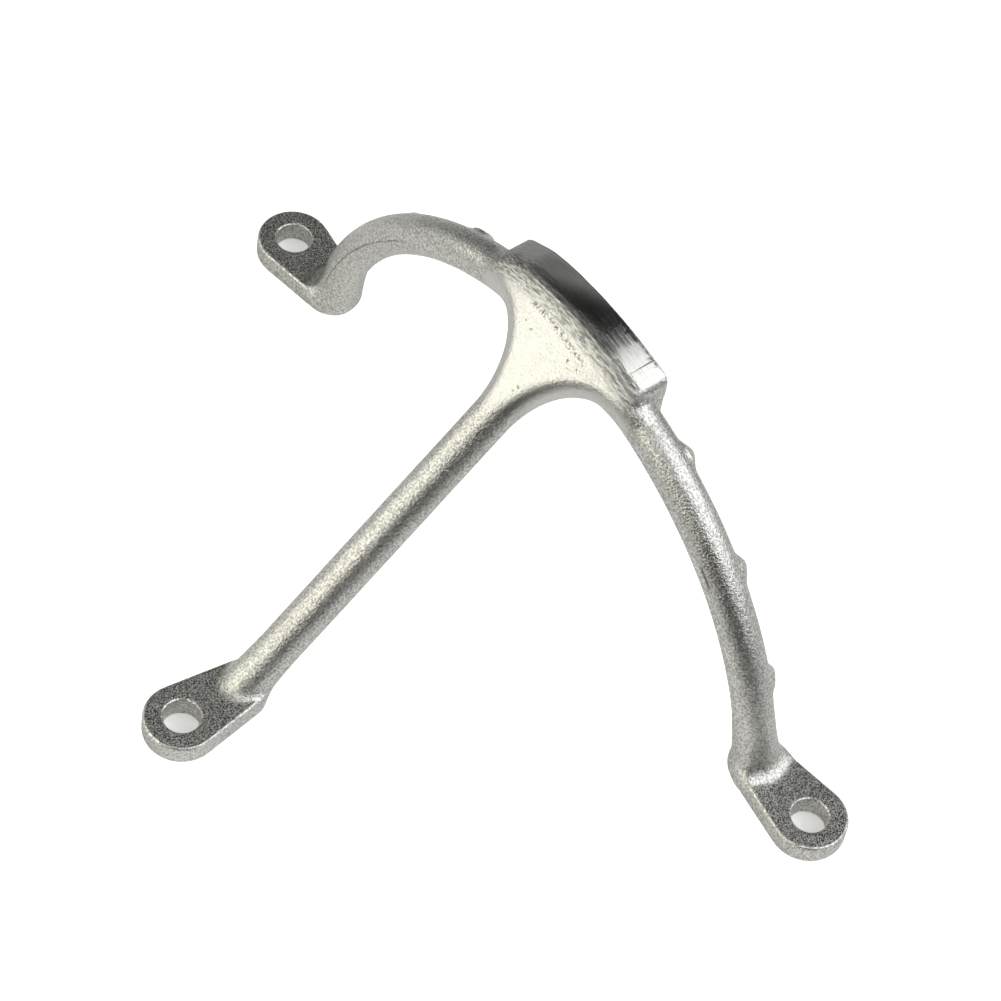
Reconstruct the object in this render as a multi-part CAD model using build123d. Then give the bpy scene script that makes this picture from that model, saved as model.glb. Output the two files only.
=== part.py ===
from build123d import *
from math import acos, cos, degrees, radians, sin, sqrt, tan
import os

# Mast step bracket, one casting, in millimetres. Two upper pads and one lower pad lie on the
# mounting plane z = 0. A round arch springs from the upper pads, a straight round strut rises
# from the lower pad, and a bent web joins them under the toe stop at the crown. X runs along
# the upper hole line, Y points up the mast, Z points away from it, and the origin lies midway
# between the upper holes.

# Mounting holes
hole_pitch = 150.0
lower_hole_drop = 77.3
hole_diameter = 6.5
hole_rim = 0.2

# Pads
pad_thickness = 4.2
pad_nose_radius = 6.75
pad_taper = 8.6
side_pad_root = 64.5
lower_pad_length = 11.9
pad_top_round = 0.55
pad_foot_edge = 0.3

# Arch, a ring of round section in an upright plane
arch_radius = 61.4
arch_centre_depth = 5.3
arch_shift = -0.8
bar_diameter = 7.3

# Heels, where the arch comes down on its pads
heel_radius = 4.6
heel_length = 11.5
heel_outset = 0.2
heel_shift = 0.45
heel_edge_round = 4.0
flare_break = 0.45
flare_waist = 0.45
cove_radius = 3.0
cove_inset = 0.85
cove_side_gap = 1.6

# Strut, from the lower pad to the crown
strut_slope = 41.5
strut_crown_rise = 3.5
strut_foot_radius = 4.05
strut_foot_length = 7.5

# Web between the strut and the arch
web_length = 19.35
web_reach = 15.0
web_run_out = 9.0
web_bend_radius = 53.4
web_strut_pull = 13.1
web_arch_pull = 6.7
web_top = 5.0

# Toe stop on the crown
stop_left_reach = 18.8
stop_right_reach = 18.4
stop_rise = 6.95
stop_depth = 9.5
stop_top = 4.4
stop_lip = 1.9
stop_lip_round = 0.5
stop_corner = 2.2
stop_left_slope_start = 12.5
stop_left_slope_drop = 1.7
stop_left_corner = 0.8
stop_edge = 0.4

# Grip nubs on the tread side of the arch
right_nub_angles = (25.9, 45.2, 64.8)
left_nub_angles = (27.2, 46.2, 65.6)
nub_flank = 35.0
nub_tip_round = 1.6
nub_base_radius = 3.6
nub_slimness = 0.8
nub_proud = 0.15

side_pad_length = hole_pitch / 2 - side_pad_root
bar_radius = bar_diameter / 2
strut_crown_height = arch_radius - arch_centre_depth + strut_crown_rise
skin = 0.05
beyond = 4 * arch_radius
on_end = (Align.CENTER, Align.CENTER, Align.MIN)

# The strut's own frame: X as the part's, Y up along the strut, Z out of its front
strut_plane = Plane(
    origin=(0, 0, strut_crown_height),
    x_dir=(1, 0, 0),
    z_dir=(0, -sin(radians(strut_slope)), cos(radians(strut_slope))),
)
# The arch's own frame: X as the part's, Y upwards, Z towards the foot of the mast
arch_plane = Plane(origin=(0, arch_shift, -arch_centre_depth), x_dir=(1, 0, 0), z_dir=(0, -1, 0))


def pad_outline(length, inset=0):
    """A round nose at the hole and a narrower round root, joined by two tangent sides."""
    root_radius = pad_nose_radius - length * sin(radians(pad_taper))
    with BuildSketch() as outline:
        Circle(pad_nose_radius - inset)
        with Locations((-length, 0)):
            Circle(root_radius - inset)
        make_hull()
    return outline.sketch


def pad(length):
    """A flat pad with rounded edges, its root towards -X before it is placed."""
    body = extrude(pad_outline(length), pad_thickness)
    body = fillet(body.edges().group_by(Axis.Z)[-1], pad_top_round)
    return chamfer(body.edges().group_by(Axis.Z)[0], pad_foot_edge)


def pad_bore():
    """The clearance hole through a pad, with a broken upper rim."""
    radius = hole_diameter / 2
    rim = Pos(0, 0, pad_thickness - hole_rim) * Cone(radius, radius + 2 * hole_rim, 2 * hole_rim, align=on_end)
    return Cylinder(radius, 3 * pad_thickness) + rim


def arch():
    """The round bar bent to a circle, down to its heels."""
    half_angle = degrees(acos((arch_centre_depth + pad_thickness / 2) / arch_radius))
    with BuildPart() as ring:
        with BuildLine(arch_plane):
            path = CenterArc((0, 0), arch_radius, 90 - half_angle, 2 * half_angle)
        with BuildSketch(Plane(origin=path @ 0, z_dir=path % 0)):
            Circle(bar_radius)
        sweep()
    return ring.part


def arch_offset(height):
    """How far the arch's centre line stands out to the side at this height."""
    return sqrt(arch_radius**2 - (height + arch_centre_depth) ** 2)


def flare(radius, length):
    """A foot that widens in two cones from the bar down to this radius, turned about the bar's line."""
    top = bar_radius - skin
    waist = top + (radius - top) * flare_waist
    cylinder = Pos(0, 0, -pad_thickness / 2) * Cylinder(radius, pad_thickness / 2, align=on_end)
    lower = Cone(radius, waist, length * flare_break, align=on_end)
    upper = Pos(0, 0, length * flare_break) * Cone(waist, top, length * (1 - flare_break), align=on_end)
    return cylinder + lower + upper


def heel(spot):
    """The flared foot of the left side of the arch, and the stump that it stands on."""
    lean = arch_offset(pad_thickness + heel_length) + spot.X
    line = Plane(
        origin=(spot.X, spot.Y, pad_thickness),
        x_dir=(heel_length, 0, lean),
        z_dir=(-lean, -heel_shift, heel_length),
    )
    stump = extrude(Circle(heel_radius - skin), pad_thickness - skin)
    stump = fillet(stump.edges().group_by(Axis.Z)[0], heel_edge_round)
    return line.location * flare(heel_radius, heel_length) + Pos(spot.X, spot.Y, 0) * stump


def cove(spot, place):
    """The hollow round between the heel and the pad's top, kept within the pad's sides."""
    start = heel_radius - cove_inset
    with BuildSketch(Plane.XZ) as profile:
        with BuildLine():
            Polyline(
                (start, cove_radius),
                (bar_radius / 2, cove_radius),
                (bar_radius / 2, -pad_thickness / 2),
                (start + cove_radius, -pad_thickness / 2),
                (start + cove_radius, 0),
            )
            RadiusArc((start + cove_radius, 0), (start, cove_radius), cove_radius)
        make_face()
    ring = Pos(spot.X, spot.Y, pad_thickness - skin) * revolve(profile.sketch, Axis.Z)
    return ring & (place * extrude(pad_outline(side_pad_length, cove_side_gap), pad_thickness + 2 * cove_radius))


def left_foot(place):
    """The left pad with its heel and the hollow round between them."""
    spot = Vector(-arch_offset(pad_thickness) - heel_outset, arch_shift + heel_shift, 0)
    foot = heel(spot) + place * pad(side_pad_length)
    return foot + cove(spot, place)


def strut():
    """The straight round bar from below the mounting plane up into the crown."""
    length = (strut_crown_height + bar_diameter) / sin(radians(strut_slope))
    return extrude(Plane(strut_plane.origin, z_dir=strut_plane.y_dir * -1) * Circle(bar_radius), length)


def arch_in_strut_frame(x):
    """Where the arch's centre line runs in the strut's frame, at this distance from the middle."""
    height = sqrt(arch_radius**2 - x**2) - arch_centre_depth - strut_crown_height
    slope = radians(strut_slope)
    along = arch_shift * cos(slope) + height * sin(slope)
    return along, height * cos(slope) - arch_shift * sin(slope)


def web_rim():
    """Half of the web's edge as a curve in the strut's frame, from the strut out to the arch."""
    along = arch_in_strut_frame(web_reach)[0]
    slope = web_reach / sqrt(arch_radius**2 - web_reach**2) * sin(radians(strut_slope))
    return (
        (0, along - web_length),
        (0, along - web_length + web_strut_pull),
        (web_reach - web_arch_pull, along + web_arch_pull * slope),
        (web_reach, along),
    )


def bend(x):
    """How far the web's middle surface lies behind the strut's axis at this distance from the middle."""
    return sqrt(web_bend_radius**2 - x**2) - web_bend_radius


def web_edge(side):
    """The rounded edge of the web, a bar that leaves the strut and runs out inside the arch."""
    rim = Bezier(*web_rim())
    points = []
    for step in range(9):
        spot = rim @ (step / 8)
        points.append((side * spot.X, spot.Y, bend(spot.X)))
    for step in (0.6, 1):
        x = web_reach + step * web_run_out
        points.append((side * x, *arch_in_strut_frame(x)))
    with BuildPart() as edge:
        with BuildLine(strut_plane):
            path = Spline(*points)
        with BuildSketch(Plane(origin=path @ 0, z_dir=path % 0)):
            Circle(bar_radius - skin)
        sweep()
    return edge.part


def web():
    """The bent plate between the two rounded edges, carried up behind the toe stop."""
    rim = web_rim()
    half = bar_radius - 2 * skin
    end = stop_right_reach - 8 * skin
    with BuildSketch() as plan:
        with BuildLine():
            right = Bezier(*rim)
            Polyline(right @ 1, (end, (right @ 1).Y), (end, web_top), (0, web_top))
            mirror(about=Plane.YZ)
        make_face()
    outline = extrude(strut_plane * plan.sketch, web_length, both=True)
    bend_centre = Plane(
        strut_plane.from_local_coords((0, rim[0][1] - bar_radius, -web_bend_radius)),
        x_dir=(1, 0, 0),
        z_dir=strut_plane.y_dir,
    )
    outer = extrude(bend_centre * Circle(web_bend_radius + half), 3 * web_length)
    inner = extrude(bend_centre * Circle(web_bend_radius - half), 3 * web_length)
    return (outer - inner) & outline


def stop_outline():
    """The toe stop seen along the arch's axis: ground to a curve, more steeply towards its left end."""
    outer = arch_radius + stop_rise
    slope_height = sqrt(outer**2 - stop_left_slope_start**2)
    left_height = sqrt(outer**2 - stop_left_reach**2) - stop_left_slope_drop
    with BuildSketch(arch_plane) as face:
        with BuildLine():
            ThreePointArc((-stop_left_slope_start, slope_height), (0, outer), (outer * 0.8, outer * 0.6))
            Polyline(
                (outer * 0.8, outer * 0.6),
                (-stop_left_reach, outer * 0.6),
                (-stop_left_reach, left_height),
                (-stop_left_slope_start, slope_height),
            )
        make_face()
        with Locations((stop_right_reach, outer)):
            Rectangle(outer, 2 * outer, align=(Align.MIN, Align.CENTER), mode=Mode.SUBTRACT)
        corners = face.vertices().sort_by(Axis.X)
        fillet(corners[:2].sort_by(Axis.Y)[-1], stop_left_corner)
        fillet(face.vertices().sort_by(Axis.X)[-2:].sort_by(Axis.Y)[-1], stop_corner)
    return face.sketch


def round_side(block, side, radius):
    """Rounds the edges of the first (0) or last (-1) face along Y, as far as they stand outside the bar."""
    edges = block.faces().sort_by(Axis.Y)[side].edges()
    shown = edges.filter_by(lambda edge: arch_plane.to_local_coords(edge.center()).length > arch_radius)
    return fillet(shown, radius)


def toe_stop():
    """The block on the crown, its tread side well clear of the bar and its lip standing over the web."""
    inside = extrude(arch_plane * Circle(arch_radius + stop_rise - stop_depth), beyond, both=True)
    block = extrude(stop_outline(), arch_shift - stop_top) - inside
    lip = extrude(stop_outline(), stop_lip) - inside
    return round_side(block, -1, stop_edge) + round_side(lip, 0, stop_lip_round)


def nub(angle, side):
    """A low round-tipped cone on the tread side of the bar, its tip level with the toe stop."""
    turn = radians(angle)
    flank = radians(nub_flank)
    height = stop_top + nub_proud - arch_shift
    point = nub_tip_round / cos(flank) - nub_tip_round
    shoulder = height - nub_tip_round + nub_tip_round * cos(flank)
    shoulder_radius = nub_tip_round * sin(flank)
    base = height + point - nub_base_radius * tan(flank)
    with BuildSketch(Plane.XZ) as profile:
        with BuildLine():
            Polyline((0, height), (0, 0), (nub_base_radius, 0), (nub_base_radius, base), (shoulder_radius, shoulder))
            RadiusArc((shoulder_radius, shoulder), (0, height), -nub_tip_round)
        make_face()
    cone = scale(revolve(profile.sketch, Axis.Z), by=(1, nub_slimness, 1))
    spot = Plane(
        origin=(side * arch_radius * sin(turn), arch_shift, arch_radius * cos(turn) - arch_centre_depth),
        x_dir=(cos(turn), 0, -side * sin(turn)),
        z_dir=(0, 1, 0),
    )
    return spot.location * cone


def strut_foot(place):
    """The strut's flared foot, kept within the taper of the lower pad's sides."""
    rise = pad_thickness - strut_crown_height
    foot = Plane(
        origin=(0, rise / tan(radians(strut_slope)), pad_thickness),
        x_dir=(1, 0, 0),
        z_dir=strut_plane.y_dir,
    )
    taper = pad_outline(lower_pad_length + strut_foot_length, pad_top_round)
    sides = place * extrude(taper, pad_thickness + strut_foot_length)
    return foot.location * flare(strut_foot_radius, strut_foot_length) & sides


def bracket():
    """The whole casting, with everything below the mounting plane trimmed off."""
    right = Location((hole_pitch / 2, 0, 0))
    left = Location((-hole_pitch / 2, 0, 0), (0, 0, 180))
    lower = Location((0, -lower_hole_drop, 0), (0, 0, -90))
    upper = Pos(0, stop_top - stop_edge, 0) * extrude(stop_outline(), lower_hole_drop)
    body = arch() + (strut() & extrude(arch_plane * Circle(arch_radius + stop_rise), beyond, both=True))
    for side in (1, -1):
        body += web_edge(side)
    body += web() & upper
    body += toe_stop()
    foot = left_foot(left)
    body += foot
    body += mirror(foot, about=Plane.YZ)
    for angle in right_nub_angles:
        body += nub(angle, 1)
    for angle in left_nub_angles:
        body += nub(angle, -1)
    body += lower * pad(lower_pad_length)
    body += strut_foot(lower)
    body = body & Box(beyond, beyond, beyond, align=on_end)
    for place in (right, left, lower):
        body -= place * pad_bore()
    return body


os.makedirs("parts", exist_ok=True)
casting = bracket()
export_step(casting, "parts/step_casting.step")
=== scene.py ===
import math

import bmesh
import bpy
import numpy as np
from mathutils import Matrix, Vector, noise


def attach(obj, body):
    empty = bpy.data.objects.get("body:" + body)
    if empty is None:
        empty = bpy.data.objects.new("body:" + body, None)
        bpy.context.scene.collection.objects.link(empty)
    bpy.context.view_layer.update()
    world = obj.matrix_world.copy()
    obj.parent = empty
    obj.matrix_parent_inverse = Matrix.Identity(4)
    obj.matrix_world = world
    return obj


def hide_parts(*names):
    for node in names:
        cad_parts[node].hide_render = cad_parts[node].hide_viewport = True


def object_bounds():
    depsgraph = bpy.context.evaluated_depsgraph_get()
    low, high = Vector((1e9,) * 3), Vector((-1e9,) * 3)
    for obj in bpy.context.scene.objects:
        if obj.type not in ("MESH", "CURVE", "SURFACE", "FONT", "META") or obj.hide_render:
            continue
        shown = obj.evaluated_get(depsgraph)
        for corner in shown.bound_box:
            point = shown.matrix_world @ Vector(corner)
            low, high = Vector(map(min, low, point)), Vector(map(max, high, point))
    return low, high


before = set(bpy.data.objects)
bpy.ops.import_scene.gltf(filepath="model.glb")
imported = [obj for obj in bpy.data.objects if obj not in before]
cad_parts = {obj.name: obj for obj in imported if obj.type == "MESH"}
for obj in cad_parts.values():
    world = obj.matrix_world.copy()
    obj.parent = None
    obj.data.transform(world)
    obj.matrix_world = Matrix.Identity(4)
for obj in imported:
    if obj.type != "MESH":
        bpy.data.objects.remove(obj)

cad_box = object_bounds()


# The camera stands where the photograph was taken from: a long lens, turned a little about its
# own axis. The picture is square.
picture_width = 1001
focal_pixels = 3893.17
sensor_width = 36.0
azimuth, elevation, roll = (math.radians(angle) for angle in (43.9428, 53.4775, -10.6025))
camera_distance = 0.697116
looked_at = Vector((-0.008357, -0.002026, 0.0))


def way_out(around, up):
    """The direction away from the bracket at these two angles, in radians."""
    return Vector((math.sin(around) * math.cos(up), -math.cos(around) * math.cos(up), math.sin(up)))


backwards = way_out(azimuth, elevation)
rightwards = (-backwards).cross(Vector((0, 0, 1))).normalized()
downwards = (-backwards).cross(rightwards)
turned_right = rightwards * math.cos(roll) + downwards * math.sin(roll)
turned_down = downwards * math.cos(roll) - rightwards * math.sin(roll)
lens = bpy.data.cameras.new("photo_camera")
lens.sensor_width = sensor_width
lens.sensor_fit = "HORIZONTAL"
lens.lens = focal_pixels * sensor_width / picture_width
lens.clip_start = 0.01
lens.clip_end = 50.0
camera = bpy.data.objects.new("photo_camera", lens)
turn = Matrix((turned_right, -turned_down, backwards)).transposed().to_4x4()
camera.matrix_world = Matrix.Translation(looked_at + backwards * camera_distance) @ turn
bpy.context.scene.collection.objects.link(camera)
bpy.context.scene.camera = camera
bpy.context.scene.view_settings.view_transform = "Standard"


# Soft studio light: a large box up the mast and to the right, a second one low in front, and a
# small one overhead.
lamp_distance = 1.2
lamps_aim = Vector((0, -0.03, 0.02))


def soft_box(name, around_deg, up_deg, width, height, radiance, colour):
    direction = way_out(math.radians(around_deg), math.radians(up_deg))
    lamp = bpy.data.lights.new(name, "AREA")
    lamp.shape = "RECTANGLE"
    lamp.size = width
    lamp.size_y = height
    lamp.energy = radiance * math.pi * width * height
    lamp.color = colour
    box = bpy.data.objects.new(name, lamp)
    box.location = lamps_aim + direction * lamp_distance
    box.rotation_euler = direction.to_track_quat("Z", "Y").to_euler()
    bpy.context.scene.collection.objects.link(box)


soft_box("key_box", 128, 48.5, width=1.64, height=1.5, radiance=1.42, colour=(1.0, 1.0, 1.01))
soft_box("front_box", -24, 33, width=1.95, height=0.95, radiance=1.42, colour=(1.0, 0.975, 0.87))
soft_box("top_box", 42, 68, width=0.75, height=0.45, radiance=0.5, colour=(1.0, 1.0, 1.0))


# The dim room round the table, which the dark bands along the bars mirror. It is darkest on the
# side that faces between the boxes, and plain white where the camera looks past the table.
def add_node(tree, kind, settings=None, output=0, **sockets):
    """Make a node, fill its sockets with values or other nodes' outputs, and return its output."""
    made = tree.nodes.new(kind)
    for name, value in (settings or {}).items():
        setattr(made, name, value)
    for name, value in sockets.items():
        socket = made.inputs[int(name[1:])] if name[1:].isdigit() else made.inputs[name]
        if isinstance(value, bpy.types.NodeSocket):
            tree.links.new(value, socket)
        else:
            socket.default_value = value
    return made.outputs[output]


def calc(tree, operation, *values):
    sockets = {f"i{place}": value for place, value in enumerate(values)}
    return add_node(tree, "ShaderNodeMath", {"operation": operation}, **sockets)


def measure(tree, operation, *vectors):
    """A length, a distance or a dot product: vectors in, one value out."""
    sockets = {f"i{place}": vector for place, vector in enumerate(vectors)}
    return add_node(tree, "ShaderNodeVectorMath", {"operation": operation}, output="Value", **sockets)


def ramp(tree, value, low, high, start=0.0, end=1.0):
    """An eased change from start to end while the value goes from low to high."""
    return add_node(
        tree, "ShaderNodeMapRange", {"interpolation_type": "SMOOTHSTEP"},
        i0=value, i1=low, i2=high, i3=start, i4=end,
    )


room_glow_low, room_glow_high, dark_side_share = 0.36, 0.03, 0.03
glow_heights, dark_side_border = (0.05, 0.5), (0.46, 0.84)
dark_side_around, dark_side_rise = math.radians(50), 0.25
dark_side = (math.sin(dark_side_around), -math.cos(dark_side_around), dark_side_rise)
room = bpy.data.worlds.new("studio_room")
room.use_nodes = True
tree = room.node_tree
tree.nodes.clear()
direction = add_node(tree, "ShaderNodeTexCoord", output="Generated")
height = add_node(tree, "ShaderNodeSeparateXYZ", Vector=direction, output="Z")
level = ramp(tree, height, *glow_heights, room_glow_low, room_glow_high)
to_dark_side = measure(tree, "DOT_PRODUCT", direction, dark_side)
level = calc(tree, "MULTIPLY", level, ramp(tree, to_dark_side, *dark_side_border, 1.0, dark_side_share))
glow = add_node(tree, "ShaderNodeBackground", Color=(0.98, 0.99, 1.0, 1), Strength=level)
white = add_node(tree, "ShaderNodeBackground", Color=(1, 1, 1, 1), Strength=1.0)
seen = add_node(tree, "ShaderNodeLightPath", output="Is Camera Ray")
mixed = add_node(tree, "ShaderNodeMixShader", i0=seen, i1=glow, i2=white)
tree.links.new(mixed, tree.nodes.new("ShaderNodeOutputWorld").inputs["Surface"])
bpy.context.scene.world = room


# The white table that the three pads rest on. To the camera it is a little lighter than the
# light on it alone would make it, but for a grey spot below each bolt hole.
table_reach = 6.0
table_height = -0.0001
table_lift = 0.9
spot_lift = 0.3
spot_border = (0.0034, 0.0042)
middle_shade, far_shade, shade_border = 0.98, 0.5, (0.1, 0.45)
shaded_side_share, shaded_side_border = 0.25, (0.065, 0.14)
bolt_hole_places = ((-0.075, 0, 0), (0.075, 0, 0), (0, -0.0773, 0))
floor_mesh = bpy.data.meshes.new("floor")
corner_sides = ((-1, -1), (1, -1), (1, 1), (-1, 1))
corners = [(side_x * table_reach, side_y * table_reach, table_height) for side_x, side_y in corner_sides]
floor_mesh.from_pydata(corners, [], [(0, 1, 2, 3)])
floor = bpy.data.objects.new("floor", floor_mesh)
bpy.context.scene.collection.objects.link(floor)
paper = bpy.data.materials.new("white_table")
paper.use_nodes = True
tree = paper.node_tree
tree.nodes.clear()
place = add_node(tree, "ShaderNodeTexCoord", output="Object")
from_middle = measure(tree, "LENGTH", place)
shade = ramp(tree, from_middle, *shade_border, middle_shade, far_shade)
shaded_side_around = math.radians(68)
shaded_side = (math.sin(shaded_side_around), -math.cos(shaded_side_around), 0.0)
to_shaded_side = measure(tree, "DOT_PRODUCT", place, shaded_side)
side_shade = ramp(tree, to_shaded_side, *shaded_side_border, 1.0, shaded_side_share)
shade = calc(tree, "MULTIPLY", shade, side_shade)
matt = add_node(tree, "ShaderNodeBsdfDiffuse", Color=shade)
lift_level = table_lift
for hole_place in bolt_hole_places:
    off_hole = measure(tree, "DISTANCE", place, hole_place)
    spot = ramp(tree, off_hole, *spot_border, spot_lift, table_lift)
    lift_level = calc(tree, "MINIMUM", lift_level, spot)
lift = add_node(tree, "ShaderNodeEmission", Color=(1, 1, 1, 1), Strength=lift_level)
lifted = add_node(tree, "ShaderNodeAddShader", i0=matt, i1=lift)
seen = add_node(tree, "ShaderNodeLightPath", output="Is Camera Ray")
surface = add_node(tree, "ShaderNodeMixShader", i0=seen, i1=matt, i2=lifted)
tree.links.new(surface, tree.nodes.new("ShaderNodeOutputMaterial").inputs["Surface"])
floor_mesh.materials.append(paper)


# The casting is one piece of bright steel. Its surface is pebbled from the shell that it was poured
# in: sharp and fine on the tops of the pads, softer on the bars and least on the web. The toe
# stop's outer face is ground, with streaks along the arch. All sizes here are in millimetres.
def within(tree, mask, value, elsewhere):
    """The value where the mask is 1, the other where it is 0, and a blend between."""
    difference = calc(tree, "SUBTRACT", value, elsewhere)
    return calc(tree, "ADD", calc(tree, "MULTIPLY", mask, difference), elsewhere)


def product(tree, first, *others):
    for other in others:
        first = calc(tree, "MULTIPLY", first, other)
    return first


def grain_noise(tree, where, scale, detail, roughness):
    return add_node(
        tree, "ShaderNodeTexNoise", Vector=where, Scale=scale, Detail=detail, Roughness=roughness,
    )


arch_centre_depth = 5.3
steel = bpy.data.materials.new("cast_steel")
steel.use_nodes = True
tree = steel.node_tree
tree.nodes.clear()
place = add_node(tree, "ShaderNodeTexCoord", output="Object")
mm = add_node(tree, "ShaderNodeVectorMath", {"operation": "SCALE"}, i0=place, Scale=1000.0)
x, y, z = add_node(tree, "ShaderNodeSeparateXYZ", i0=mm).node.outputs
normal = add_node(tree, "ShaderNodeNewGeometry", output="Normal")
facing_up = add_node(tree, "ShaderNodeSeparateXYZ", i0=normal, output="Z")

# Where a point lies on the arch's own circle, and which part of the casting it belongs to. Each
# pair of numbers is where a part's border begins and where it ends.
height_in_ring = calc(tree, "ADD", z, arch_centre_depth)
squares = calc(tree, "ADD", calc(tree, "POWER", x, 2.0), calc(tree, "POWER", height_in_ring, 2.0))
from_axis = calc(tree, "SQRT", squares)
along_arch = calc(tree, "ARCTAN2", x, height_in_ring)
off_middle = calc(tree, "ABSOLUTE", x)
crown_above, crown_within = (46.0, 50.0), (21.0, 18.0)
on_crown = product(tree, ramp(tree, z, *crown_above), ramp(tree, off_middle, *crown_within))
pad_top_facing, pad_top_below = (0.93, 0.99), (4.9, 4.5)
on_pad_top = product(tree, ramp(tree, facing_up, *pad_top_facing), ramp(tree, z, *pad_top_below))
web_below = (-1.0, -3.0)
on_web = product(tree, on_crown, ramp(tree, y, *web_below))
lip_below, lip_above, lip_outside = (-1.2, -2.4), (-5.0, -3.2), (62.5, 64.0)
on_lip = product(
    tree, ramp(tree, y, *lip_below), ramp(tree, y, *lip_above), ramp(tree, from_axis, *lip_outside),
    on_crown,
)


def along_arch_place(along, across, deep):
    """The place on the arch's circle, stretched for streaks that run along it."""
    return add_node(
        tree, "ShaderNodeCombineXYZ",
        i0=calc(tree, "MULTIPLY", along_arch, along),
        i1=calc(tree, "MULTIPLY", y, across),
        i2=calc(tree, "MULTIPLY", from_axis, deep),
    )


# The grains: pebbles and grit of the shell, wide dents, streaks and scratches of the grinding, and
# the folds that the metal ran in along the lip.
pebbles = grain_noise(tree, mm, scale=2.6, detail=2.0, roughness=0.6)
grit = grain_noise(tree, mm, scale=4.6, detail=2.0, roughness=0.7)
dents = grain_noise(tree, mm, scale=0.8, detail=1.0, roughness=0.5)
streaks_place = along_arch_place(along=11.0, across=3.4, deep=2.5)
streaks = grain_noise(tree, streaks_place, scale=1.0, detail=4.0, roughness=0.7)
folds_place = along_arch_place(along=36.0, across=3.2, deep=3.2)
folds = grain_noise(tree, folds_place, scale=1.0, detail=3.0, roughness=0.6)
scratches_place = along_arch_place(along=30.0, across=6.0, deep=3.0)
scratches = grain_noise(tree, scratches_place, scale=1.0, detail=3.0, roughness=0.6)


def ragged(tree, where, grain, reach):
    """A place across or along the toe stop, shifted by a grain so that borders come out ragged."""
    return calc(tree, "MULTIPLY_ADD", grain, reach, where)


# The ground face has a ragged lower border, with a scraped strip beside it. Towards its left end the
# wheel hardly touched it, and its right end is freshly ground and the brightest. Between the two ends
# its colour is painted dark, a painted reflection of the dim room that the face mirrors.
ground_outside, ground_facing = (65.0, 66.0), (0.7, 0.8)
ground_above, ground_below = (-0.3, 0.9), (4.2, 3.9)
ground = product(
    tree, ramp(tree, from_axis, *ground_outside), ramp(tree, facing_up, *ground_facing), on_crown,
    ramp(tree, y, *ground_below), ramp(tree, ragged(tree, y, scratches, 4.5), *ground_above),
)
scraped_above, scraped_below = (-3.0, -2.1), (2.7, 1.0)
scraped_outside, scraped_left_of = (63.5, 64.5), (13.0, 8.0)
scraped = product(
    tree, ramp(tree, y, *scraped_above), ramp(tree, ragged(tree, y, streaks, 5.0), *scraped_below),
    ramp(tree, from_axis, *scraped_outside), on_crown, ramp(tree, x, *scraped_left_of),
)
unground_left_of, unground_slant = (4.5, -6.5), -1.5
bright_right_of, fresh_right_of = (8.0, 11.0), (11.2, 12.4)
slanted_x = calc(tree, "MULTIPLY_ADD", y, unground_slant, ragged(tree, x, streaks, 7.0))
unground = ramp(tree, slanted_x, *unground_left_of)
bright_end = ramp(tree, ragged(tree, x, streaks, 3.0), *bright_right_of)
fresh = ramp(tree, ragged(tree, x, streaks, 4.0), *fresh_right_of)

# How high each grain stands on each part.
pebble_height = within(tree, on_pad_top, 0.12, elsewhere=within(tree, on_web, 0.1, elsewhere=0.15))
grit_height = within(tree, on_pad_top, 0.16, elsewhere=0.03)
dent_height, fold_height = 0.01, 0.22
relief = calc(tree, "MULTIPLY", pebbles, pebble_height)
relief = calc(tree, "ADD", relief, calc(tree, "MULTIPLY", grit, grit_height))
relief = calc(tree, "ADD", relief, calc(tree, "MULTIPLY", dents, dent_height))
relief = calc(tree, "ADD", relief, product(tree, folds, on_lip, fold_height))
streak_height = within(tree, unground, 0.05, elsewhere=0.02)
relief = within(tree, ground, calc(tree, "MULTIPLY", streaks, streak_height), elsewhere=relief)

# Small pits on the web, the bars and the pads: how wide each is, and its place. Their outlines are
# uneven, because the place is shifted by a stray amount.
stray_reach, pit_rim, pit_bottom = 1.1, 1.4, 0.5
strays = add_node(tree, "ShaderNodeTexNoise", output="Color", Vector=mm, Scale=2.2, Detail=1.0)
strays = add_node(tree, "ShaderNodeVectorMath", {"operation": "SUBTRACT"}, i0=strays, i1=(0.5, 0.5, 0.5))
strays = add_node(tree, "ShaderNodeVectorMath", {"operation": "SCALE"}, i0=strays, Scale=stray_reach)
strayed = add_node(tree, "ShaderNodeVectorMath", {"operation": "ADD"}, i0=mm, i1=strays)
pits = 0.0
for pit_size, *pit_place in (
    (0.3, -6.35, -4.4, 60.0), (0.22, -4.3, -4.5, 60.1), (0.26, -2.3, -4.5, 60.3), (0.3, -0.5, -4.7, 60.2),
    (0.3, 1.1, -4.7, 60.1), (0.26, 2.4, -4.9, 59.95), (0.24, 3.9, -5.0, 59.8), (0.24, 5.1, -5.05, 59.6),
    (0.2, 5.2, -6.4, 58.4), (0.24, 7.25, -6.3, 58.2), (0.16, -5.5, -6.7, 58.1), (0.16, -3.7, -7.2, 57.8),
    (0.26, 1.5, -14.2, 51.8), (0.2, 1.7, -13.4, 52.5), (0.22, -49.6, -2.4, 25.0), (0.22, -51.8, -1.7, 20.6),
    (0.24, -47.0, -3.6, 30.3), (0.25, 79.4, 0.3, 4.2), (0.2, -79.1, 3.4, 4.2), (0.2, -76.25, 4.3, 4.2),
):
    off_pit = measure(tree, "DISTANCE", strayed, tuple(pit_place))
    pit = ramp(tree, off_pit, pit_rim * pit_size, pit_bottom * pit_size)
    pits = calc(tree, "MAXIMUM", pits, pit)
pits = calc(tree, "MULTIPLY", pits, ramp(tree, grit, 0.4, 0.52, start=0.45, end=1.0))

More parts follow.
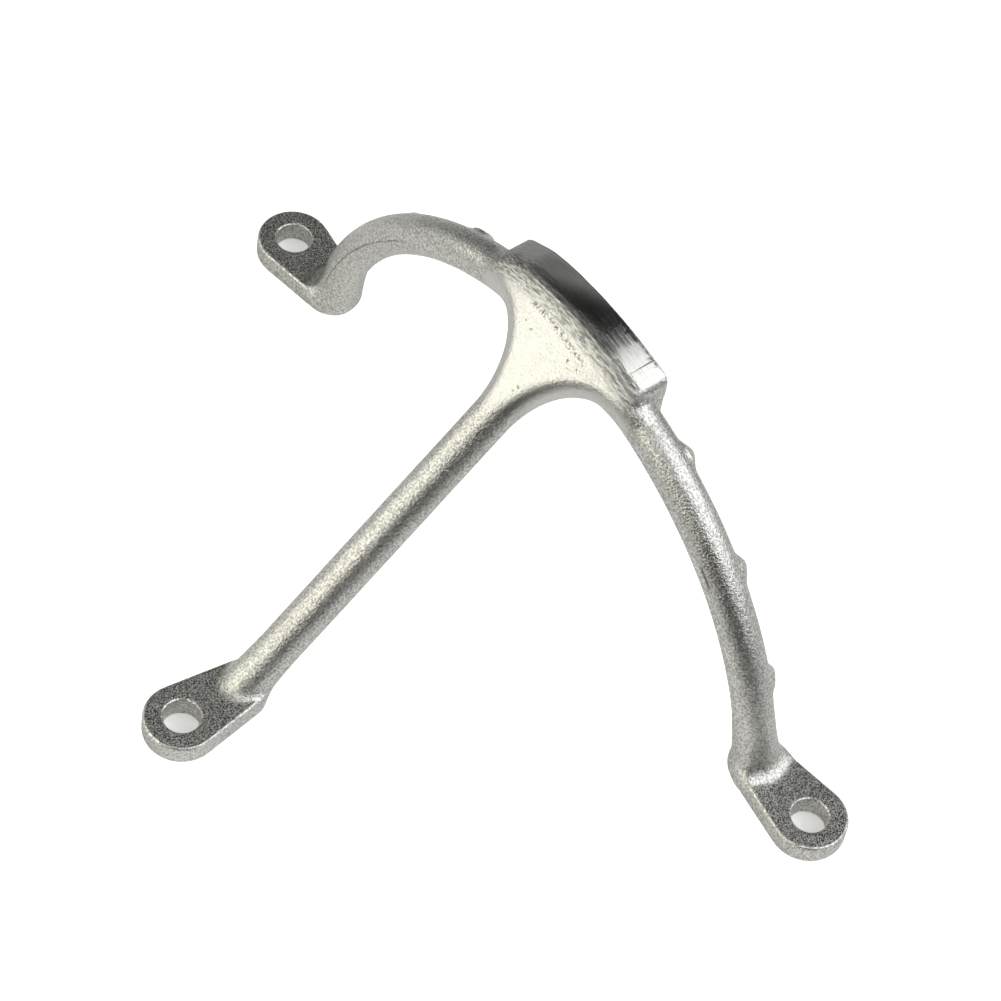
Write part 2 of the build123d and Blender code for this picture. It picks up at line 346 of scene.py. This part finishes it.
# A broken row of specks runs under the web's upper edge.
row_slant, row_offset, row_depth = 0.057, 4.76, 0.65
row_width, row_within, speck_pebbles = (0.6, 0.2), (9.0, 6.5), (0.53, 0.6)
row_line = calc(tree, "ADD", calc(tree, "MULTIPLY_ADD", x, row_slant, y), row_offset)
row = product(
    tree, ramp(tree, calc(tree, "ABSOLUTE", row_line), *row_width), ramp(tree, off_middle, *row_within),
    on_crown, ramp(tree, pebbles, *speck_pebbles), row_depth,
)

# The parting seam on the lower side of the left leg, which wanders, breaks and fades at its ends.
seam_radius, seam_wander = 61.2, 0.8
seam_width, seam_below = (0.16, 0.05), (-3.9, -4.15)
seam_start, seam_end = (-0.68, -0.78), (-1.41, -1.2)
broken = grain_noise(tree, mm, scale=0.55, detail=2.0, roughness=0.6)
seam_line = calc(tree, "MULTIPLY_ADD", broken, seam_wander, seam_radius)
off_seam = calc(tree, "ABSOLUTE", calc(tree, "SUBTRACT", from_axis, seam_line))
seam = product(
    tree, ramp(tree, off_seam, *seam_width), ramp(tree, y, *seam_below),
    ramp(tree, along_arch, *seam_start), ramp(tree, along_arch, *seam_end),
    ramp(tree, broken, 0.36, 0.46, start=0.35, end=1.0),
)

# A scar on the same line of the right leg, and a fine crack across the toe stop's bright end.
scar_radius, scar_angle, crack_angle = 62.5, 0.765, 0.2132
scar_width, scar_below, scar_length = (0.4, 0.1), (-3.8, -4.05), (0.045, 0.025)
crack_width, crack_above = (0.0022, 0.001), (1.6, 5.0)
across_scar = calc(tree, "ABSOLUTE", calc(tree, "SUBTRACT", from_axis, scar_radius))
along_scar = calc(tree, "ABSOLUTE", calc(tree, "SUBTRACT", along_arch, scar_angle))
scar = product(
    tree, ramp(tree, across_scar, *scar_width), ramp(tree, y, *scar_below),
    ramp(tree, along_scar, *scar_length),
)
off_crack = calc(tree, "ABSOLUTE", calc(tree, "SUBTRACT", along_arch, crack_angle))
crack_fade = ramp(tree, ragged(tree, y, broken, 5.0), *crack_above)
crack = product(tree, ramp(tree, off_crack, *crack_width), ground, crack_fade)

marks = pits
for mark in (row, seam, scar, crack):
    marks = calc(tree, "MAXIMUM", marks, mark)
mark_depth, mark_darkness = 0.06, 0.8
relief = calc(tree, "SUBTRACT", relief, calc(tree, "MULTIPLY", marks, mark_depth))
bumped = add_node(tree, "ShaderNodeBump", Height=relief, Strength=1.0, Distance=0.001)

# How matt each part is: the poured skin, the ground face and the scraped strip beside it.
clouds = grain_noise(tree, mm, scale=0.3, detail=3.0, roughness=0.6)
poured_roughness = ramp(tree, clouds, 0.3, 0.7, start=0.28, end=0.31)
wheel_roughness = within(tree, bright_end, 0.2, elsewhere=0.14)
ground_roughness = within(tree, unground, 0.42, elsewhere=wheel_roughness)
roughness = within(tree, ground, ground_roughness, elsewhere=poured_roughness)
roughness = within(tree, scraped, 0.32, elsewhere=roughness)

# How light each part is, as a factor on the steel's own colour. The poured skin is speckled, and the
# lip, the ground face and the scraped strip are streaked. The pad tops are painted darker, as painted
# shade for the dark that they mirror, and the ground face's middle holds a painted reflection.
fine_grain = grain_noise(tree, mm, scale=4.0, detail=2.0, roughness=0.8)
fine_speckle = ramp(tree, fine_grain, 0.36, 0.62)
coarse_speckle = ramp(tree, pebbles, 0.36, 0.64)
speckle = within(tree, on_pad_top, fine_speckle, elsewhere=coarse_speckle)
speckle_depth = within(tree, on_pad_top, 0.92, elsewhere=within(tree, on_web, 0.1, elsewhere=0.55))
# The pad tops are painted dark, at 0.47 of the steel's colour: painted shade for the dim room that their
# upturned faces mirror. The speckle on them is the grit's own grain.
lightness = within(tree, on_pad_top, 0.47, elsewhere=within(tree, on_web, 0.96, elsewhere=0.87))
lightness = calc(tree, "ADD", lightness, calc(tree, "MULTIPLY", speckle_depth, 0.5))
lightness = calc(tree, "SUBTRACT", lightness, calc(tree, "MULTIPLY", speckle, speckle_depth))
lip_lightness = ramp(tree, folds, 0.4, 0.56, start=0.45, end=1.04)
lightness = within(tree, on_lip, lip_lightness, elsewhere=lightness)
streak_depth = within(tree, unground, 0.2, elsewhere=0.5)
streak_lightness = product(tree, ramp(tree, streaks, 0.36, 0.62), streak_depth)
# Between its ends the ground face is painted dark, at 0.35 of the steel's colour: a painted reflection of
# the dim room. The streaks on it are the grinding's own.
streaks_and_painted_reflection = calc(tree, "ADD", within(tree, unground, 0.92, elsewhere=0.35), streak_lightness)
fresh_lightness = ramp(tree, streaks, 0.36, 0.6, start=0.8, end=0.92)
ground_lightness = within(tree, fresh, fresh_lightness, elsewhere=streaks_and_painted_reflection)
lightness = within(tree, ground, ground_lightness, elsewhere=lightness)
scratch_lightness = ramp(tree, scratches, 0.42, 0.58, start=0.25, end=1.0)
lightness = within(tree, scraped, product(tree, lightness, scratch_lightness), elsewhere=lightness)


def mix_colours(tree, share, first, second):
    """A mix node that is set to colours takes them at places 6 and 7 and gives its own at 2."""
    return add_node(tree, "ShaderNodeMix", {"data_type": "RGBA"}, output=2, i0=share, i6=first, i7=second)


warm_steel, cool_steel = (0.88, 0.87, 0.83, 1), (0.86, 0.86, 0.83, 1)
mark_colour = (0.16, 0.15, 0.14, 1)
tone = mix_colours(tree, clouds, warm_steel, cool_steel)
toned = add_node(tree, "ShaderNodeVectorMath", {"operation": "SCALE"}, i0=tone, Scale=lightness)
marked = mix_colours(tree, calc(tree, "MULTIPLY", marks, mark_darkness), toned, mark_colour)
shader = tree.nodes.new("ShaderNodeBsdfPrincipled")
shader.inputs["Metallic"].default_value = 1.0
tree.links.new(marked, shader.inputs["Base Color"])
tree.links.new(roughness, shader.inputs["Roughness"])
tree.links.new(bumped, shader.inputs["Normal"])
tree.links.new(shader.outputs[0], tree.nodes.new("ShaderNodeOutputMaterial").inputs["Surface"])

# The casting's skin stands for the CAD solid. It is the same body as one closed mesh, with the
# inner corners run together as the molten metal leaves them, and a slight unevenness.
skin_grid, weld_distance = 0.24, 0.002
most_triangles = 190000
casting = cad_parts["step_casting"]
source = casting.data.copy()
weld = bmesh.new()
weld.from_mesh(source)
bmesh.ops.remove_doubles(weld, verts=weld.verts, dist=weld_distance / 1000)
weld.to_mesh(source)
weld.free()
skin = bpy.data.objects.new("casting_skin", source)
bpy.context.scene.collection.objects.link(skin)
closing = skin.modifiers.new("closing", "REMESH")
closing.mode = "VOXEL"
closing.voxel_size = skin_grid / 1000
closed = bpy.data.meshes.new_from_object(skin.evaluated_get(bpy.context.evaluated_depsgraph_get()))
skin.modifiers.remove(closing)
skin.data = closed

spots = np.zeros(len(closed.vertices) * 3)
closed.vertices.foreach_get("co", spots)
spots = spots.reshape(-1, 3) * 1000
ends = np.zeros(len(closed.edges) * 2, int)
closed.edges.foreach_get("vertices", ends)
ends = ends.reshape(-1, 2)
neighbour_count = np.bincount(ends.ravel(), minlength=len(spots))


def neighbour_mean(values):
    total = np.empty_like(values)
    for axis in range(values.shape[1]):
        total[:, axis] = np.bincount(ends[:, 0], values[ends[:, 1], axis], len(spots))
        total[:, axis] += np.bincount(ends[:, 1], values[ends[:, 0], axis], len(spots))
    return total / neighbour_count[:, None]


def soften(points, rounds, share=0.6):
    points = points.copy()
    for _ in range(rounds):
        points += share * (neighbour_mean(points) - points)
    return points


def evened(points, rounds):
    """Softened points with the lost fullness given back, so that the bars stay as thick."""
    smooth = soften(points, rounds)
    return smooth + soften(points - smooth, rounds)


def share_between(values, none_at, all_at):
    return np.clip((values - none_at) / (all_at - none_at), 0, 1)


def radius_on_arch(points):
    return np.hypot(points[:, 0], points[:, 2] + arch_centre_depth)


# Inner corners are filled, but not at the feet, which are drawn further on.
foot_centre_out, foot_centre_shift, strut_foot_y = 64.5, -0.35, -66.5
foot_reach, foot_border, foot_top, foot_top_border = 9.0, 2.0, 9, 5
fill_rounds, fill_least, fill_strength, fill_above = 60, 0.01, 1.3, (0.8, 1.6)
spots = soften(spots, 1, share=0.5)
facing = np.zeros(len(spots) * 3)
closed.vertex_normals.foreach_get("vector", facing)
facing = facing.reshape(-1, 3)
fill = np.maximum(((soften(spots, fill_rounds) - spots) * facing).sum(1) - fill_least, 0)
for foot_x, foot_y in (
    (-foot_centre_out, foot_centre_shift), (foot_centre_out, foot_centre_shift), (0, strut_foot_y),
):
    away = np.hypot(spots[:, 0] - foot_x, spots[:, 1] - foot_y)
    above = np.maximum(spots[:, 2] - foot_top, 0)
    fill *= np.clip((away - foot_reach) / foot_border + above / foot_top_border, 0, 1)
fill *= share_between(spots[:, 2], *fill_above)
spots += fill_strength * fill[:, None] * facing

# The web's left corner runs out along the arch, and the bars are evened all over.
corner_right_of, corner_left_of, corner_below, corner_above = (-29, -24), (-12, -17), (-1.2, -2.0), 44
corner_rounds, bar_rounds, bars_above = 150, 30, (7, 10)
stop_outside, stop_above, stop_beyond = -3.5, 46, 64
from_arch_axis = radius_on_arch(spots)
run_out = share_between(spots[:, 0], *corner_right_of) * share_between(spots[:, 0], *corner_left_of)
run_out *= share_between(spots[:, 1], *corner_below) * (spots[:, 2] > corner_above)
for _ in range(3):
    spots += run_out[:, None] * (evened(spots, corner_rounds) - spots)
on_toe_stop = (spots[:, 1] > stop_outside) * (spots[:, 2] > stop_above)
on_toe_stop *= from_arch_axis > stop_beyond
plain_bar = share_between(spots[:, 2], *bars_above) * (1 - on_toe_stop)
spots += plain_bar[:, None] * (evened(spots, bar_rounds) - spots)

# The toe stop's ground face is a true arc that runs down to its left end in one easy curve.
ground_radius, slope_start, left_end, slope_drop = 68.35, 12.5, 18.8, 1.7
first_station, last_station, station_step = -40, 30, 0.05
ease_width, ease_steps, ease_from_end, ease_left_of = 1.8, 120, (-18.6, -16.6), -5
face_closeness, face_tilt, near_face_depth = 0.25, 0.25, (-2.0, -0.5)
face_above, face_outside, face_left_of = 48, -3, 15.8
stations = np.arange(first_station, last_station, station_step)
start_height = np.sqrt(ground_radius**2 - slope_start**2)
end_height = np.sqrt(ground_radius**2 - left_end**2) - slope_drop
heights = np.interp(-stations, [slope_start, left_end], [start_height, end_height])
reaches = np.where(stations > -slope_start, ground_radius, np.hypot(stations, heights))
spread = np.exp(-0.5 * (np.arange(-ease_steps, ease_steps + 1) * station_step / ease_width) ** 2)
easing = np.convolve(reaches, spread / spread.sum(), "same") - reaches
from_arch_axis = radius_on_arch(spots)
meant = np.interp(spots[:, 0], stations, reaches)
eased = np.interp(spots[:, 0], stations, easing) * share_between(spots[:, 0], *ease_from_end)
eased *= spots[:, 0] < ease_left_of
on_stop = (spots[:, 2] > face_above) * (spots[:, 1] > face_outside) * (spots[:, 0] < face_left_of)
on_face = on_stop * (np.abs(from_arch_axis - meant) < face_closeness) * (np.abs(facing[:, 1]) < face_tilt)
near_face = on_stop * share_between(from_arch_axis - meant, *near_face_depth)
shift = (on_face * (meant - from_arch_axis) + near_face * eased) / from_arch_axis
spots[:, 0] += shift * spots[:, 0]
spots[:, 2] += shift * (spots[:, 2] + arch_centre_depth)

# At its foot each bar runs into its pad in one hollow round. The skin is drawn onto that shape:
# each function gives how far a point lies outside it.
pad_thickness, pad_edge, pad_nose, pad_taper = 4.2, 0.55, 6.75, math.radians(8.6)
side_hole_out, side_pad_length, side_hollow = 75, 10.5, 2.7
lower_hole_drop, lower_pad_length, lower_hollow = 77.3, 11.9, 1.15
bar_radius = 3.62


def pad_gap(away, aside, up, length):
    """The pad: a round nose at the hole, a narrower round root, and a rounded top edge."""
    aside = np.abs(aside)
    along = math.cos(pad_taper) * away - math.sin(pad_taper) * aside
    side = math.cos(pad_taper) * aside + math.sin(pad_taper) * away - pad_nose
    root = np.hypot(aside, away - length) - pad_nose + length * math.sin(pad_taper)
    beside = np.where(along > math.cos(pad_taper) * length, root, side)
    outline = np.where(along < 0, np.hypot(aside, away) - pad_nose, beside)
    wide, tall = outline + pad_edge, up - pad_thickness + pad_edge
    off_edge = np.hypot(np.maximum(wide, 0), np.maximum(tall, 0))
    return off_edge + np.minimum(np.maximum(wide, tall), 0) - pad_edge


def joined(one, other, radius):
    """Two bodies run together in a hollow round of this radius."""
    corner = np.hypot(np.maximum(radius - one, 0), np.maximum(radius - other, 0))
    return np.maximum(radius, np.minimum(one, other)) - corner


def side_foot(points):
    """An upper pad and the arch's foot on it: a leaning bar that flares, least towards the hole,
    down to a rounded heel that bulges a little on the lower side."""
    flare_height, foot_out, foot_lean, foot_shift, shift_lean = 11.5, 60.86, 3.16, 0.35, 0.45
    flare_width, front_cut, lower_cut, front_border = 0.98, 0.88, 0.6, (0.5, 0.95)
    heel_radius, heel_spread, lower_bulge, heel_to_bar = 4.0, 0.6, 0.65, (2.2, 5.2)
    out, aside, up = np.abs(points[:, 0]), points[:, 1], points[:, 2]
    risen = np.clip((up - pad_thickness) / flare_height, 0, 1.2)
    out_of_axis = out - foot_out + foot_lean * risen
    off_axis = aside + foot_shift + shift_lean * risen
    from_line = np.hypot(out_of_axis, off_axis)
    front = share_between(out_of_axis / np.maximum(from_line, 0.1), *front_border)
    front = front * front * (3 - 2 * front)
    lower_side = 0.7 * np.clip(-off_axis / np.maximum(from_line, 0.1), 0, 1)
    flare = np.maximum(1 - risen, 0) ** 1.5 * (flare_width - front_cut * front - lower_cut * lower_side)
    bar = from_line - bar_radius - flare
    heel_wide = np.maximum(from_line - lower_bulge * lower_side - heel_spread, 0)
    heel = np.hypot(heel_wide, np.maximum(heel_radius - up, 0)) - heel_radius
    on_bar = share_between(up, *heel_to_bar)
    bar = heel + (bar - heel) * on_bar * on_bar * (3 - 2 * on_bar)
    return joined(bar, pad_gap(side_hole_out - out, aside, up, side_pad_length), side_hollow)


def strut_foot(points):
    """The lower pad and the strut's foot on it, which flares only a little."""
    slope, crown_height, strut_length = math.radians(41.5), 59.6, 83.6
    flare_width, flare_length = 0.3, 7.5
    x_off, y_up, below_crown = points[:, 0], points[:, 1], points[:, 2] - crown_height
    along = y_up * math.cos(slope) + below_crown * math.sin(slope) + strut_length
    above = below_crown * math.cos(slope) - y_up * math.sin(slope)
    flare = flare_width * np.clip(1 - along / flare_length, 0, 1) ** 1.5
    bar = np.hypot(x_off, above) - bar_radius - flare
    pad = pad_gap(y_up + lower_hole_drop, x_off, points[:, 2], lower_pad_length)
    return joined(bar, pad, lower_hollow)


draw_rounds, probe, longest_step, least_slope = 5, 0.02, 0.4, 0.3
drawn_foot_out, drawn_strut_foot_y = 62.5, -64.5
drawn_within, drawn_below, drawn_above, drawn_off_bore = (10.0, 7.5), (13.5, 9.5), (0.48, 1.28), (3.9, 4.7)
for foot, foot_x, foot_y, hole_x, hole_y in (
    (side_foot, -drawn_foot_out, foot_centre_shift, -side_hole_out, 0),
    (side_foot, drawn_foot_out, foot_centre_shift, side_hole_out, 0),
    (strut_foot, 0, drawn_strut_foot_y, 0, -lower_hole_drop),
):
    away = np.hypot(spots[:, 0] - foot_x, spots[:, 1] - foot_y)
    off_bore = np.hypot(spots[:, 0] - hole_x, spots[:, 1] - hole_y)
    share = share_between(away, *drawn_within) * share_between(spots[:, 2], *drawn_below)
    share *= share_between(spots[:, 2], *drawn_above) * share_between(off_bore, *drawn_off_bore)
    near = np.flatnonzero(share)
    drawn = spots[near]
    for _ in range(draw_rounds):
        gap = np.clip(foot(drawn), -longest_step, longest_step)
        slopes = [(foot(drawn + step) - foot(drawn - step)) / (2 * probe) for step in np.eye(3) * probe]
        steepest = np.stack(slopes, 1)
        drawn -= (gap / np.maximum((steepest**2).sum(1), least_slope))[:, None] * steepest
    spots[near] += share[near, None] * (drawn - spots[near])

# A slight wave all over, but not on the faces that lie on the mast. The skin keeps inside the
# solid's own box.
wave_height, wave_above, box_margin = 0.02, (1.5, 3.0), 0.002
long_wave, short_wave, short_share, short_place = 0.21, 0.47, 0.6, Vector((9, 4, 2))
wave = []
for spot in spots:
    here = Vector(spot)
    wave.append(noise.noise(here * long_wave) + short_share * noise.noise(here * short_wave + short_place))
wave = np.array(wave) * wave_height * share_between(spots[:, 2], *wave_above)
spots += wave[:, None] * facing
low, high = (np.array(corner) * 1000 for corner in cad_box)
spots = np.clip(spots, low + box_margin, high - box_margin)
closed.vertices.foreach_set("co", (spots / 1000).ravel())
closed.update()
thinning = skin.modifiers.new("thinning", "DECIMATE")
thinning.ratio = min(1.0, most_triangles / (2 * len(closed.polygons)))
skin.data = bpy.data.meshes.new_from_object(skin.evaluated_get(bpy.context.evaluated_depsgraph_get()))
skin.modifiers.remove(thinning)
skin.data.shade_smooth()
skin.data.materials.clear()
skin.data.materials.append(steel)
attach(skin, "root")
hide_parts("step_casting")
